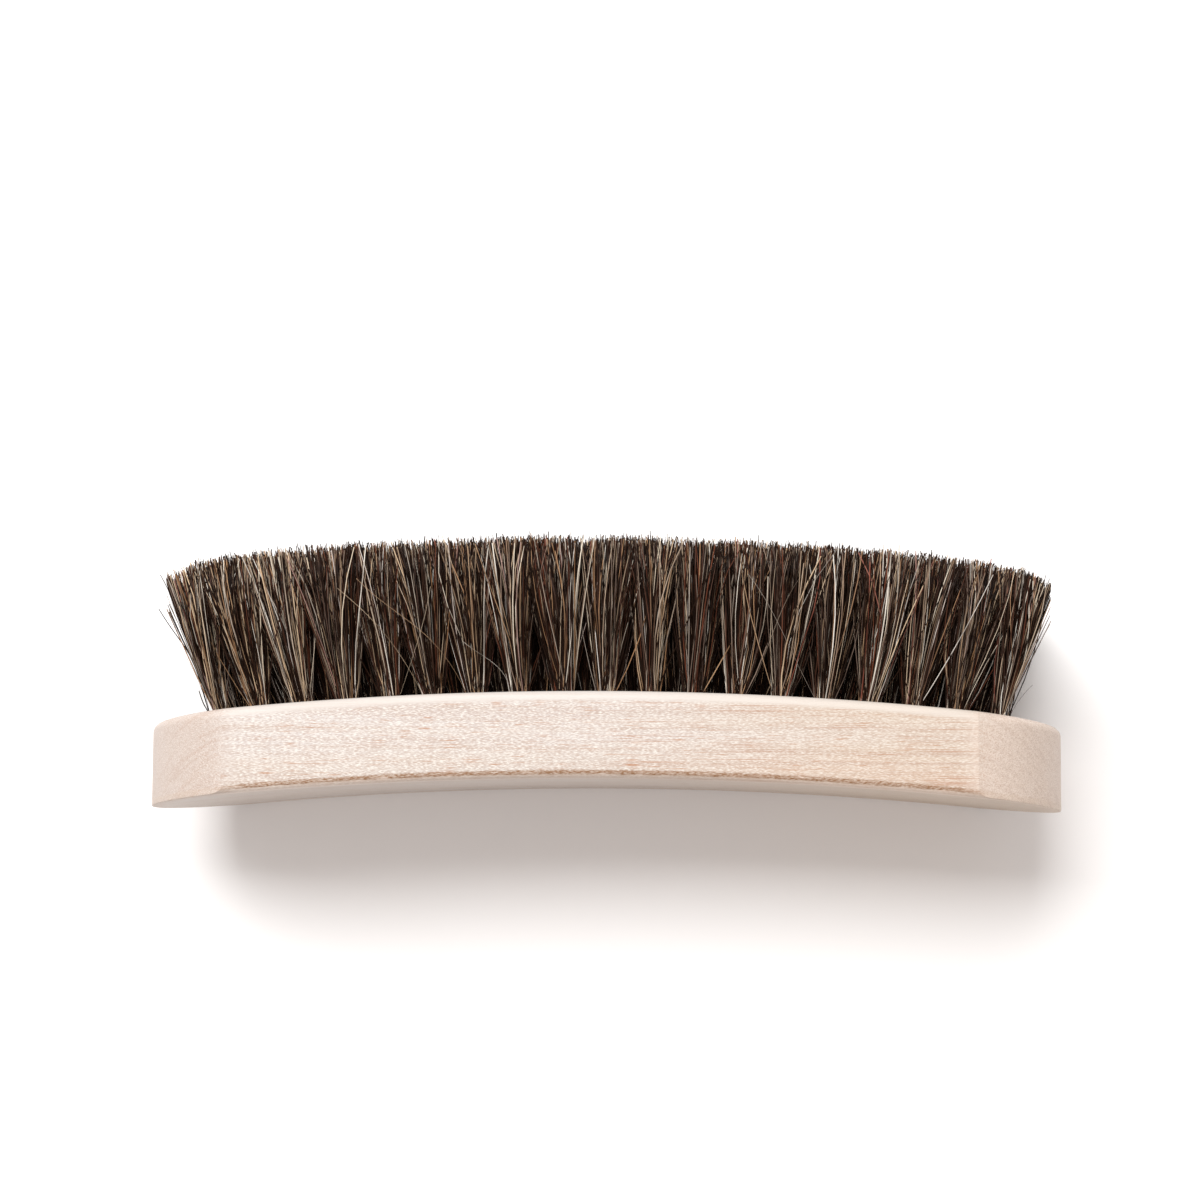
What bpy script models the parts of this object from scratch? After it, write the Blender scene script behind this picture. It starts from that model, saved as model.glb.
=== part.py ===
"""Horsehair shoe brush lying on its side: an arched wooden block with five rows of hair tufts.

Metres, +Z up. X runs along the brush, +Y points to the bristle tips and Z runs across the width.
The origin is on the side face that the brush lies on, at mid length and mid thickness.

The block is drilled with one blind hole for each tuft. The hair is made as 19 cross strips: each is a
thin slice of the block's bristle face, seated in a shallow bed, with the strands of its tufts fused to
it above and the folded roots of the same tufts below, which reach down into the drilled holes.
"""
import math
import random

import bmesh
import bpy
from mathutils import Matrix, Vector

# Block
BLOCK_LENGTH = 0.205
BLOCK_WIDTH = 0.056
BLOCK_THICKNESS = 0.019
FACE_RADIUS = 0.820
BACK_RADIUS = 0.880
FACE_BEVEL = 0.0020
BACK_BEVEL = 0.0015
END_BULGE = 0.0015
END_ROUND = 0.0020

# Drilled field
TUFT_COLUMNS = 19
TUFT_ROWS = 5
SIDE_MARGIN = 0.0090
END_MARGIN = 0.0062
FIELD_SHIFT = 0.0014
HOLE_DIAMETER = 0.0050
HOLE_DEPTH = 0.0095

# Face slices and the bed that they lie in
SLICE_THICKNESS = 0.0030
SLICE_MARGIN = 0.0006
FIT_GAP = 0.0003

# Hair
HAIR_HEIGHT = 0.0339
TRIM_RADIUS = 0.720
TRIM_SHIFT = -0.0050
TRIM_END_DROP = 0.0028
TRIM_END_POWER = 18
TRIM_UNEVENNESS = 0.0014
END_LEAN = 0.0070
SIDE_LEAN = 0.0039
TIP_JITTER = 0.0004
STRAND_ROOT_SHARE = 0.26
STRAND_TIP_SHARE = 0.12
STRAND_FOOT_SHARE = 0.4
ROOT_SPREAD_SHARE = 0.46
ROOT_TOP_SHARE = 0.6
TIP_SPREAD_SHARE = 0.26
HAIR_SEED = 7

# Facet counts and the length by which a cutter passes through
BAR_SPANS = 24
END_SPANS = 22
SIDE_SPANS = 12
BEVEL_SPANS = 2
HOLE_SIDES = 8
ROOT_SIDES = 6
STRAND_SIDES = 3
OVERRUN = 0.0010

# Sizes worked out from those above
HALF_LENGTH = BLOCK_LENGTH / 2
HALF_WIDTH = BLOCK_WIDTH / 2
FACE_TOP = BLOCK_THICKNESS / 2
END_RADIUS = HALF_WIDTH + END_BULGE
END_CENTRE = HALF_LENGTH - END_RADIUS
HOLE_RADIUS = HOLE_DIAMETER / 2
ROOT_RADIUS = HOLE_RADIUS * math.cos(math.pi / HOLE_SIDES) - FIT_GAP
ROW_REACH = HALF_WIDTH - SIDE_MARGIN
ROW_PITCH = 2 * ROW_REACH / (TUFT_ROWS - 1)
CORNER_RADIUS = END_RADIUS - END_MARGIN
FIELD_REACH = END_CENTRE + math.sqrt(CORNER_RADIUS ** 2 - ROW_REACH ** 2)
TUFT_PITCH = 2 * FIELD_REACH / (TUFT_COLUMNS - 1)
SLICE_REACH = ROW_REACH + HOLE_RADIUS + SLICE_MARGIN
SLICE_CORNER_RADIUS = CORNER_RADIUS + HOLE_RADIUS + SLICE_MARGIN
TIP_PITCH = TUFT_PITCH * (1 + END_LEAN / FIELD_REACH)
TIP_ROW_PITCH = ROW_PITCH * (1 + SIDE_LEAN / ROW_REACH)
TRIM_REACH = FIELD_REACH + END_LEAN + TIP_PITCH * TIP_SPREAD_SHARE


def face_height(x):
    """Height of the convex bristle face above the origin's level at a place along the length."""
    return FACE_TOP - FACE_RADIUS + math.sqrt(FACE_RADIUS ** 2 - x ** 2)


def back_height(x):
    """Height of the concave back, which arches the same way on a slightly larger radius."""
    return -FACE_TOP - BACK_RADIUS + math.sqrt(BACK_RADIUS ** 2 - x ** 2)


def trim_height(from_middle):
    """Height that the tips are trimmed to: a shallow arc that rolls off at the outermost tips.

    The arc's crest sits a little off the drilled field's middle.
    """
    arc = TRIM_RADIUS - math.sqrt(TRIM_RADIUS ** 2 - (from_middle - TRIM_SHIFT) ** 2)
    roll_off = TRIM_END_DROP * min(abs(from_middle) / TRIM_REACH, 1) ** TRIM_END_POWER
    return FACE_TOP + HAIR_HEIGHT - arc - roll_off


def on_face(along, rise=0.0):
    """Frame on the bristle face, at a distance along the arch from the drilled field's middle.

    Its Y points out of the wood. The field sits a little off the block's own middle.
    """
    angle = (along + FIELD_SHIFT) / FACE_RADIUS
    centre = Vector((0, FACE_TOP - FACE_RADIUS, HALF_WIDTH))
    turn = Matrix.Rotation(-angle, 4, "Z")
    return Matrix.Translation(centre) @ turn @ Matrix.Translation((0, FACE_RADIUS + rise, 0))


def add_object(name, mesh, material):
    """Put a mesh in the scene under its node's name."""
    mesh.materials.append(material)
    part = bpy.data.objects.new(name, mesh)
    bpy.context.scene.collection.objects.link(part)
    return part


def mesh_from(name, shape):
    """Turn a finished bmesh into a mesh with its faces pointing out."""
    bmesh.ops.recalc_face_normals(shape, faces=shape.faces[:])
    mesh = bpy.data.meshes.new(name)
    shape.to_mesh(mesh)
    shape.free()
    return mesh


def skin_rings(shape, rings):
    """Join rings of equally many points into one closed skin with flat caps."""
    loops = [[shape.verts.new(point) for point in ring] for ring in rings]
    count = len(loops[0])
    for lower, upper in zip(loops, loops[1:]):
        for i in range(count):
            j = (i + 1) % count
            shape.faces.new((lower[i], lower[j], upper[j], upper[i]))
    shape.faces.new(loops[0])
    shape.faces.new(loops[-1])


def combine(part, tool, operation):
    """Cut the part with a tool, join it to one, or keep what both share."""
    step = part.modifiers.new(operation.title(), "BOOLEAN")
    step.operation = operation
    step.solver = "EXACT"
    step.object = tool
    bpy.context.view_layer.update()
    result = bpy.data.meshes.new_from_object(part.evaluated_get(bpy.context.evaluated_depsgraph_get()))
    part.modifiers.clear()
    part.data = result
    bpy.data.objects.remove(tool)


def bar_section(x):
    """Section of the arched bar across the length, with its four long edges rounded over."""
    corners = (
        (1, face_height(x), -1, FACE_BEVEL),
        (-1, face_height(x), -1, FACE_BEVEL),
        (-1, back_height(x), 1, BACK_BEVEL),
        (1, back_height(x), 1, BACK_BEVEL),
    )
    points = []
    for side, edge, inward, bevel in corners:
        steps = [step * math.pi / 2 / BEVEL_SPANS for step in range(BEVEL_SPANS + 1)]
        if side * inward > 0:
            steps.reverse()
        for angle in steps:
            across = HALF_WIDTH - bevel * (1 - math.cos(angle))
            height = edge + inward * bevel * (1 - math.sin(angle))
            points.append((x, height, HALF_WIDTH + side * across))
    return points


def arched_bar():
    """Blank of the block: the arched bar, longer than the block, with rounded long edges."""
    reach = HALF_LENGTH + OVERRUN
    shape = bmesh.new()
    skin_rings(shape, [bar_section(-reach + 2 * reach * i / BAR_SPANS) for i in range(BAR_SPANS + 1)])
    return mesh_from("wood_block", shape)


def plan_outline(inset):
    """Plan of the block drawn in by an inset: two end arcs, and straight sides clear of the bar."""
    radius = END_RADIUS - inset
    points = []
    for end in (1, -1):
        for i in range(END_SPANS + 1):
            angle = end * math.pi / 2 - math.pi * i / END_SPANS
            points.append((end * END_CENTRE + radius * math.cos(angle), radius * math.sin(angle)))
        for i in range(1, SIDE_SPANS):
            points.append((end * END_CENTRE * (1 - 2 * i / SIDE_SPANS), -end * radius))
    return points


def end_cutter():
    """Solid that shapes both ends: the plan outline, rounded over where it meets the bristle face."""
    middle = END_ROUND * (1 - math.sqrt(0.5))
    profile = (
        (0.0, -END_ROUND),
        (middle, -middle),
        (2 * END_ROUND - middle, middle),
    )
    far = BLOCK_LENGTH
    shape = bmesh.new()
    rings = [[(x, -far, HALF_WIDTH + z) for x, z in plan_outline(0.0)]]
    for inset, rise in profile:
        rings.append([(x, face_height(x) + rise, HALF_WIDTH + z) for x, z in plan_outline(inset)])
    rings.append([(x, far, HALF_WIDTH + z) for x, z in plan_outline(profile[-1][0])])
    skin_rings(shape, rings)
    return mesh_from("end_cutter", shape)


def bed_stations():
    """Places along the arch where the bed's width or its floor changes: distance and half width."""
    clear = SLICE_REACH + FIT_GAP
    corner = SLICE_CORNER_RADIUS + FIT_GAP
    end = FIELD_REACH + TUFT_PITCH / 2 + FIT_GAP
    narrow = math.sqrt(corner ** 2 - (end - END_CENTRE) ** 2)
    wide_until = END_CENTRE + math.sqrt(corner ** 2 - clear ** 2)
    stations = [(end, narrow), (wide_until, clear)]
    for i in range(TUFT_COLUMNS - 1):
        stations.append((FIELD_REACH - TUFT_PITCH * (i + 0.5), clear))
    stations += [(-wide_until, clear), (-end, narrow)]
    return stations


def bed_cutter():
    """Shallow bed for the face slices, with a floor that follows the arch."""
    floor = -SLICE_THICKNESS - FIT_GAP
    shape = bmesh.new()
    rings = []
    for along, reach in bed_stations():
        low = on_face(along, floor)
        high = on_face(along, OVERRUN + END_ROUND)
        rings.append([
            low @ Vector((0, 0, -reach)),
            low @ Vector((0, 0, reach)),
            high @ Vector((0, 0, reach)),
            high @ Vector((0, 0, -reach)),
        ])
    skin_rings(shape, rings)
    return mesh_from("bed_cutter", shape)


def tuft_places():
    """Every tuft's column, distance along the arch and offset across the width."""
    places = []
    for row in range(TUFT_ROWS):
        across = -ROW_REACH + ROW_PITCH * row
        shift = row % 2
        for column in range(TUFT_COLUMNS - shift):
            along = -FIELD_REACH + TUFT_PITCH * (column + shift / 2)
            places.append((column, along, across))
    return places


def add_prism(shape, frame, low, high, radius, sides):
    """Upright prism between two heights of a frame, with a flat turned to the frame's Z."""
    turn = Matrix.Rotation(math.pi / 2, 4, "X") @ Matrix.Rotation(math.pi / sides, 4, "Z")
    middle = Matrix.Translation((0, (low + high) / 2, 0))
    bmesh.ops.create_cone(
        shape, cap_ends=True, segments=sides, radius1=radius, radius2=radius,
        depth=high - low, matrix=frame @ middle @ turn,
    )


def hole_cutter():
    """Drills for the blind holes, square to the arched face."""
    shape = bmesh.new()
    for column, along, across in tuft_places():
        frame = on_face(along) @ Matrix.Translation((0, 0, across))
        add_prism(shape, frame, -HOLE_DEPTH, -SLICE_THICKNESS + OVERRUN, HOLE_RADIUS, HOLE_SIDES)
    return mesh_from("hole_cutter", shape)


def wood_block(wood):
    """The block: arched bar, rounded ends, bed for the slices and one blind hole for each tuft."""
    block = add_object("wood_block", arched_bar(), wood)
    combine(block, add_object("end_cutter", end_cutter(), wood), "INTERSECT")
    combine(block, add_object("bed_cutter", bed_cutter(), wood), "DIFFERENCE")
    combine(block, add_object("hole_cutter", hole_cutter(), wood), "DIFFERENCE")
    return block


def slice_side(column):
    """Zigzag edge between two slices, which weaves round the staggered holes, as along and across."""
    points = []
    for row in range(TUFT_ROWS):
        along = -FIELD_REACH + TUFT_PITCH * (column - 0.5 + (row % 2) / 2)
        points.append((along, -ROW_REACH + ROW_PITCH * row))
    return [(points[0][0], -SLICE_REACH)] + points + [(points[-1][0], SLICE_REACH)]


def end_side(end):
    """Straight outer edge of the first or last slice, with corners cut to follow the block's end."""
    along = FIELD_REACH + TUFT_PITCH / 2
    narrow = math.sqrt(SLICE_CORNER_RADIUS ** 2 - (along - END_CENTRE) ** 2)
    wide_until = END_CENTRE + math.sqrt(SLICE_CORNER_RADIUS ** 2 - SLICE_REACH ** 2)
    return [
        (end * wide_until, -SLICE_REACH),
        (end * along, -narrow),
        (end * along, narrow),
        (end * wide_until, SLICE_REACH),
    ]


def slice_outline(column):
    """Outline of one slice, with half the fitting gap taken off each zigzag edge."""
    near = [(along + FIT_GAP / 2, across) for along, across in slice_side(column)]
    far = [(along - FIT_GAP / 2, across) for along, across in slice_side(column + 1)]
    if column == 0:
        near = end_side(-1)
    if column == TUFT_COLUMNS - 1:
        far = end_side(1)
    return near + far[::-1]


def strand_ends(along, across, chance):
    """Root and tip of each of a tuft's strands, in world coordinates.

    One strand stands in the middle and four at the corners of a square, which grows from the hole to
    the tips, so that the tuft flares. Tufts lean outwards in step with their distance from the middle.
    """
    foot = -SLICE_THICKNESS * STRAND_FOOT_SHARE
    root_spread = HOLE_RADIUS * ROOT_SPREAD_SHARE
    ends = []
    for step_x, step_z in ((0, 0), (-1, -1), (1, -1), (1, 1), (-1, 1)):
        root = Vector((step_x * root_spread, 0, across + step_z * root_spread))
        tip_along = along * TIP_PITCH / TUFT_PITCH + step_x * TIP_PITCH * TIP_SPREAD_SHARE
        tip_across = across * TIP_ROW_PITCH / ROW_PITCH + step_z * TIP_ROW_PITCH * TIP_SPREAD_SHARE
        tip_along += chance.uniform(-TIP_JITTER, TIP_JITTER)
        tip_across += chance.uniform(-TIP_JITTER, TIP_JITTER)
        height = trim_height(tip_along) - chance.uniform(0, TRIM_UNEVENNESS)
        tip = Vector((FIELD_SHIFT + tip_along, height, HALF_WIDTH + tip_across))
        ends.append((on_face(along, foot) @ root, tip))
    return ends


def add_strand(shape, root, tip, spin):
    """One strand: a straight lock of hair that widens from its root to its trimmed tip."""
    run = tip - root
    turn = run.to_track_quat("Z", "Y").to_matrix().to_4x4() @ Matrix.Rotation(spin, 4, "Z")
    bmesh.ops.create_cone(
        shape, cap_ends=True, segments=STRAND_SIDES,
        radius1=HOLE_RADIUS * STRAND_ROOT_SHARE, radius2=TUFT_PITCH * STRAND_TIP_SHARE,
        depth=run.length, matrix=Matrix.Translation((root + tip) / 2) @ turn,
    )


def face_slice(outline, middle):
    """Flat slice of the bristle face, in a frame on the face at the slice's middle."""
    shape = bmesh.new()
    rings = []
    for height in (-SLICE_THICKNESS, 0.0):
        rings.append([(along - middle, height, across) for along, across in outline])
    skin_rings(shape, rings)
    return mesh_from("face_slice", shape)


def tufts_of(column, frame):
    """Strands and folded roots of one slice's tufts, in the slice's frame."""
    chance = random.Random(HAIR_SEED + column)
    inverse = frame.inverted()
    low = -HOLE_DEPTH + FIT_GAP
    high = -SLICE_THICKNESS * ROOT_TOP_SHARE
    shape = bmesh.new()
    for owner, along, across in tuft_places():
        if owner != column:
            continue
        seat = inverse @ on_face(along) @ Matrix.Translation((0, 0, across))
        add_prism(shape, seat, low, high, ROOT_RADIUS, ROOT_SIDES)
        for root, tip in strand_ends(along, across, chance):
            add_strand(shape, inverse @ root, inverse @ tip, chance.uniform(0, 2 * math.pi))
    return mesh_from("tufts", shape)


def tuft_strip(column, hair):
    """One cross strip: a slice of the face with the strands and roots of its tufts fused to it."""
    outline = slice_outline(column)
    distances = [along for along, across in outline]
    middle = (min(distances) + max(distances)) / 2
    frame = on_face(middle)
    strip = add_object(f"tuft_strip_{column + 1:02d}", face_slice(outline, middle), hair)
    combine(strip, add_object("tufts", tufts_of(column, frame), hair), "UNION")
    strip.matrix_world = frame
    return strip


def principled(name, colour, roughness):
    """Material with one colour and roughness."""
    material = bpy.data.materials.new(name)
    material.use_nodes = True
    shader = material.node_tree.nodes["Principled BSDF"]
    shader.inputs["Base Color"].default_value = (*colour, 1.0)
    shader.inputs["Roughness"].default_value = roughness
    shader.inputs["Metallic"].default_value = 0.0
    material.diffuse_color = (*colour, 1.0)
    return material


def main():
    for old in list(bpy.data.objects):
        bpy.data.objects.remove(old)
    wood = principled("pale_maple", (0.78, 0.64, 0.50), 0.55)
    hair = principled("horsehair", (0.075, 0.048, 0.035), 0.42)
    wood_block(wood)
    for column in range(TUFT_COLUMNS):
        tuft_strip(column, hair)


main()
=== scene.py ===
"""Looks of the horsehair shoe brush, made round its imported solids.

Metres, +Z up. X runs along the brush, +Y points to the bristle tips and Z runs across the width, from
the side face that the brush lies on, at Z = 0, to the side face that looks up at the camera.

The block is one smooth wooden body with a drilled hole for each tuft. The hair is single hairs: each
tuft is a bundle of locks that leave its hole together, flare, lean with the tuft and end at the trim.
"""
import math

import bpy
import numpy as np
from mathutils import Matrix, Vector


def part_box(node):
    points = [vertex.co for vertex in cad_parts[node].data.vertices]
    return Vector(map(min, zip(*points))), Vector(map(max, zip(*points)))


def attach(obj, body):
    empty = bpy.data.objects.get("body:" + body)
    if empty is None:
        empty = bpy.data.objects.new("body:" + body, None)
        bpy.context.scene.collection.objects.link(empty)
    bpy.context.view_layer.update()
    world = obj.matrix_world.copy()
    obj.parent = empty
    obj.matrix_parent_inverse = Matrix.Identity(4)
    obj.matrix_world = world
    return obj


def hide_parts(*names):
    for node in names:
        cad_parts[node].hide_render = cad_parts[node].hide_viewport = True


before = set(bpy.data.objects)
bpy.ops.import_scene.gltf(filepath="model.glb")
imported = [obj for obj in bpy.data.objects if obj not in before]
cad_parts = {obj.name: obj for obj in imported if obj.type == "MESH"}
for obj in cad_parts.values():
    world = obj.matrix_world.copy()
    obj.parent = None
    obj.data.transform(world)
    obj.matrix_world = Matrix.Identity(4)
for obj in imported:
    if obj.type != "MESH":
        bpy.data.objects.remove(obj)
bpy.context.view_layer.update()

# Block
FACE_RADIUS = 0.820
BACK_RADIUS = 0.880
BLOCK_THICKNESS = 0.019
FACE_BEVEL = 0.0020
BACK_BEVEL = 0.0015
END_BULGE = 0.0015
END_ROUND = 0.0020
BACK_EDGE_ROUND = 0.0003
ARC_SPANS = 32
SIDE_SPANS = 64
FIELD_SPANS = 10
BEVEL_SPANS = 10
WALL_SPANS = 8
CREASE_ANGLE = math.radians(14)
WELD_DISTANCE = 0.000002

# Drilled field
TUFT_COLUMNS = 19
TUFT_ROWS = 5
SIDE_MARGIN = 0.0090
END_MARGIN = 0.0062
FIELD_SHIFT = 0.0014
HOLE_RADIUS = 0.0025
HOLE_SHOWN_DEPTH = 0.0045
HOLE_OVERRUN = 0.0020
HOLE_SIDES = 20

# Hair. Pairs, apart from the radius's limits and the pale tones, are along the brush and across it
HAIR_HEIGHT = 0.0339
TRIM_RADIUS = 0.720
TRIM_SHIFT = -0.0050
TRIM_END_DROP = 0.0028
TRIM_END_POWER = 18
TRIM_REACH_PAST_FIELD = 0.0097
END_LEAN = 0.0070
SIDE_LEAN = 0.0039
HAIRS_PER_TUFT = 450
LOCKS_PER_TUFT = 60
HAIR_SEED = 11
HAIR_SIDES = 3
HAIR_RINGS = (0.0, 0.15, 0.36, 0.58, 0.8, 1.0)
HAIR_RADIUS = 0.000115
HAIR_RADIUS_SPREAD = 0.000032
HAIR_RADIUS_LIMITS = (0.00005, 0.00017)
TAPER_START_SHARE = 0.6
TIP_TAPER_SHARE = 0.85
ROOT_SINK = 0.0032
ROOT_DRAW_SHARE = 0.9
ROOT_SPREAD_SHARE = 0.35
FLARE = (0.0034, 0.0058)
LOCK_SPREAD = (0.0017, 0.0024)
HAIR_SPREAD = (0.0013, 0.0009)
SIDE_ROOM = 0.0035
STRAY_SHARE = 0.10
STRAY_SPREAD = 0.0038
TUFT_DRIFT = 0.0009
LEAN_EASE = 0.10
FLARE_EASE = -0.30
REACH_AT_FACE = 0.0003
REACH_AT_TRIM = 0.0102
REACH_HOLD_SHARE = 0.92
FREE_SHARE = 0.012
LOCK_TONE_SHARE = 0.14
LOCK_TONE_SPREAD = 0.04
TUFT_TONE_SPREAD = 0.02
LOCK_BEND = (0.0006, 0.0003)
BEND = (0.0006, 0.0003)
STRAY_BEND = 0.0012
WAVE = (0.00012, 0.00004)
KINKED_SHARE = 0.22
KINK = (0.0004, 0.0002)
TRIM_UNEVENNESS = 0.0018
TRIM_UNEVENNESS_POWER = 1.5
TRIM_JITTER = 0.00045
LOCK_UNEVENNESS = 0.0003
SHORT_SHARE = 0.09
SHORTFALL = 0.0070
CLEARANCE = 0.0003
TONE_LANES = 256
# Painted shade: the inner rows' tufts hold more dark hair, standing in for the shade between the front
# tufts
INNER_PAINTED_SHADE_BIAS = 2.0
END_PALE_SHARE = 0.16
END_PALE_COLUMNS = 2.5
PALE_TONES = (0.74, 0.98)
LONE_DARK_SHARE = 0.5
LONE_DARK_RADIUS = 0.000140
LONE_PALE_RADIUS = 0.000042
LONE_ROOT_SHARE = 0.8
LONE_RINGS = 18

# Single hairs that stand out: column, row, tone share and three points past the foot, each along the
# brush, out of the face and across
LONE_HAIRS = (
    (0, 4, 0.10, (-0.0036, 0.0108, 0.0), (-0.0068, 0.0162, 0.0005), (-0.0116, 0.0231, 0.0010)),
    (0, 4, 0.72, (-0.0034, 0.0083, -0.002), (-0.0066, 0.0137, -0.003), (-0.0099, 0.0193, -0.003)),
    (0, 4, 0.05, (-0.0008, 0.0017, 0.002), (-0.0013, 0.0032, 0.003), (-0.0016, 0.0046, 0.004)),
    (0, 4, 0.30, (-0.0030, 0.0100, 0.001), (-0.0062, 0.0203, 0.003), (-0.0108, 0.0303, 0.004)),
    (18, 4, 0.66, (0.0012, 0.0023, 0.0), (0.0029, 0.0047, 0.0), (0.0050, 0.0070, 0.001)),
    (18, 4, 0.20, (0.0018, 0.0100, 0.001), (0.0038, 0.0205, 0.002), (0.0088, 0.0292, 0.003)),
    (18, 4, 0.12, (0.0014, 0.0090, 0.0), (0.0048, 0.0192, 0.001), (0.0070, 0.0270, 0.001)),
    (18, 2, 0.08, (0.0016, 0.0110, 0.0), (0.0052, 0.0190, 0.002), (0.0078, 0.0262, 0.0)),
    (5, 4, 0.90, (-0.0060, 0.0105, 0.006), (-0.0120, 0.0175, 0.008), (-0.0185, 0.0232, 0.009)),
    (6, 4, 0.80, (-0.0070, 0.0110, 0.006), (-0.0149, 0.0175, 0.008), (-0.0240, 0.0250, 0.009)),
    (4, 4, 0.92, (0.0040, 0.0100, 0.006), (0.0062, 0.0170, 0.008), (0.0075, 0.0240, 0.008)),
    (7, 4, 0.97, (-0.0020, 0.0050, 0.004), (-0.0058, 0.0080, 0.007), (-0.0100, 0.0110, 0.007)),
    (12, 4, 0.86, (0.0040, 0.0090, 0.005), (0.0075, 0.0180, 0.008), (0.0120, 0.0260, 0.008)),
    (14, 4, 0.84, (-0.0050, 0.0095, 0.005), (-0.0098, 0.0190, 0.008), (-0.0150, 0.0270, 0.008)),
)

# Hair's map: what part of its tone lane a hair's walls and end caps take, as U across and V along
LANE_MARGIN = 0.1
LANE_FOOT = 0.01
LANE_RUN = 0.96
CAP_U = (0.2, 0.8, 0.5)
ROOT_CAP_V = (0.0, 0.0, 0.008)
TIP_CAP_V = (0.975, 0.975, 0.995)

# Hair's tones on screen at their places in the row of lanes: dark to pale, then a few reddish ones
HAIR_TONES = (
    (0.00, (29, 16, 8)),
    (0.49, (41, 24, 14)),
    (0.58, (60, 40, 30)),
    (0.64, (100, 56, 38)),
    (0.685, (84, 70, 62)),
    (0.725, (132, 114, 101)),
    (0.765, (158, 119, 84)),
    (0.805, (178, 149, 119)),
    (0.845, (152, 143, 134)),
    (0.89, (198, 171, 139)),
    (0.94, (210, 197, 177)),
    (0.98, (222, 217, 208)),
    (1.00, (132, 60, 38)),
)

# Hair's finish: the noise of its painted shade streaks, as cells on the map, detail and roughness, then
# what they do
SHADE_STREAKS = ((1 / TONE_LANES, 0.35, 1.0), 1.0, 0.5)
SHADE_STREAK_BAND = (0.42, 0.66)
SHADE_STREAK_SHARE = 0.7
SHADE_STREAK_TONE = (128, 116, 108)
HAIR_ROUGHNESS = 0.42
HAIR_SPECULAR = 0.13

# Wood: the mask of each of its parts goes from 0 to 1 between two distances, and some borders wander
END_FROM_MIDDLE = (0.0770, 0.0865)
END_FROM_ARC = (0.0045, 0.0010)
SIDE_DEPTH = (0.0040, 0.0003)
EDGE_DEPTH = (0.0070, 0.0015)
STRIP_DEPTH = (0.0030, 0.0020)
LOW_RISE = (0.0100, 0.0030)
BACK_RISE = (0.0021, 0.0016)
TAN_LINE_TOP = (0.0023, 0.0018)
TAN_LINE_FOOT = (0.0009, 0.0013)
TAN_LINE_REACH = (0.0870, 0.0760)
STRIP_WANDER = 0.0008
BACK_WANDER = 0.0007
TAN_LINE_WANDER = 0.0008

# Wood: what changes along the brush changes between two places
WARM_RUN = (-0.01, 0.075)
# Painted shade at the left end and painted light at the right end change between these places
END_LIGHT_AND_SHADE_RUN = (-0.05, 0.05)
RIGHT_END_RUN = (0, 0.05)
# Painted bounce light on the back's edge grows between these places
BOUNCE_PAINT_RUN = (0.02, 0.07)
LINE_RUN = (-0.03, 0.03)

# Wood: each noise, as its cells' sizes along the brush, out of the face and across, its detail and its
# roughness
RAGGED = ((0.0035, 0.0006, 0.004), 3.0, 0.6)
RINGS = ((0.110, 0.0008, 0.012), 2.0, 0.5)
RING_SLANT = math.radians(-44)
LONG_GRAIN = ((0.090, 0.0040, 0.0040), 2.0, 0.5)
PORES = ((0.0100, 0.0006, 0.0006), 3.0, 0.6)
SPECKLE = ((0.0008, 0.00013, 0.00013), 1.0, 0.5)
DASHES = ((0.0050, 0.00018, 0.00018), 0.0, 0.5)
LINES = ((0.0220, 0.00020, 0.00020), 0.0, 0.5)
PATCHES = ((0.012, 0.0028, 0.0028), 1.0, 0.5)
MOTTLE = ((0.00045, 0.00022, 0.00022), 2.0, 0.6)

# Wood: each mark, as the band of its noise from none to all of it, its share and its tone on screen
DARK_MOTTLE = ((0.48, 0.68), 0.75, (168, 144, 128))
PALE_MOTTLE = ((0.48, 0.30), 0.75, (212, 200, 192))
PORE_MARK = ((0.50, 0.72), 0.35, (165, 145, 130))
PALE_SPECK = ((0.50, 0.36), 0.85, (217, 213, 205))
DARK_SPECK = ((0.50, 0.64), 0.48, (165, 140, 122))
DASH_MARK = ((0.60, 0.80), 0.85, (165, 117, 84))
LINE_MARK = ((0.60, 0.80), 0.8, (165, 125, 102))

# Wood: other bands of noise, shares and tones on screen
WARM_RUN_SHARE = 0.65
WARM_GRAIN_BAND = (0.35, 0.75)
WARM_GRAIN_SHARE = 0.25
COOL_TONE = (193, 187, 184)
WARM_TONE = (191, 174, 155)
LOW_SHARE = 0.45
LOW_COOL_TONE = (180, 168, 156)
LOW_WARM_TONE = (196, 164, 138)
# The ends' own end grain tone, painted darker at the left as painted shade and lighter at the right as
# painted light
END_TONE_SHARE = 0.75
LEFT_END_PAINTED_SHADE_TONE = (181, 168, 159)
RIGHT_END_PAINTED_LIGHT_TONE = (211, 196, 184)
RING_BAND = (0.48, 0.66)
RING_SHARE = 0.35
RIGHT_END_RING_LOSS = 0.15
RING_TONE = (165, 141, 127)
PATCH_BAND = (0.40, 0.58)
STRIP_CLEAN_SHARE = 0.8
STRIP_SHARE = 0.6
STRIP_TONE = (200, 194, 187)
MARKS_OFF_SIDE_SHARE = 0.30
WARM_SPECK_LOSS = 0.5
# Painted light: the back's edge near the side faces is painted paler, most towards the ends, standing in
# for light bounced off the floor
BOUNCE_PAINT_SHARE = 0.5
BOUNCE_PAINT_MIDDLE_TONE = (204, 183, 167)
BOUNCE_PAINT_END_TONE = (228, 210, 196)
BACK_SHARE = 0.2
BACK_TONE = (190, 168, 146)
# The tan line is rough tan grain at the back's edge, darkened as painted shade in that crease
TAN_LINE_BREAKS = (0.22, 0.46)
TAN_LINE_SPECKLE = (0.40, 0.60)
TAN_LINE_KEPT_SHARE = 0.50
TAN_LINE_CREASE_SHADE_TONE = (130, 95, 64)
PORE_RELIEF = 0.4
RELIEF_OFF_SIDE_SHARE = 0.3
RELIEF_STRENGTH = 0.5
RELIEF_DEPTH = 0.00010
WOOD_ROUGHNESS = 0.52
SIDE_ROUGHNESS_GAIN = 0.16

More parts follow.
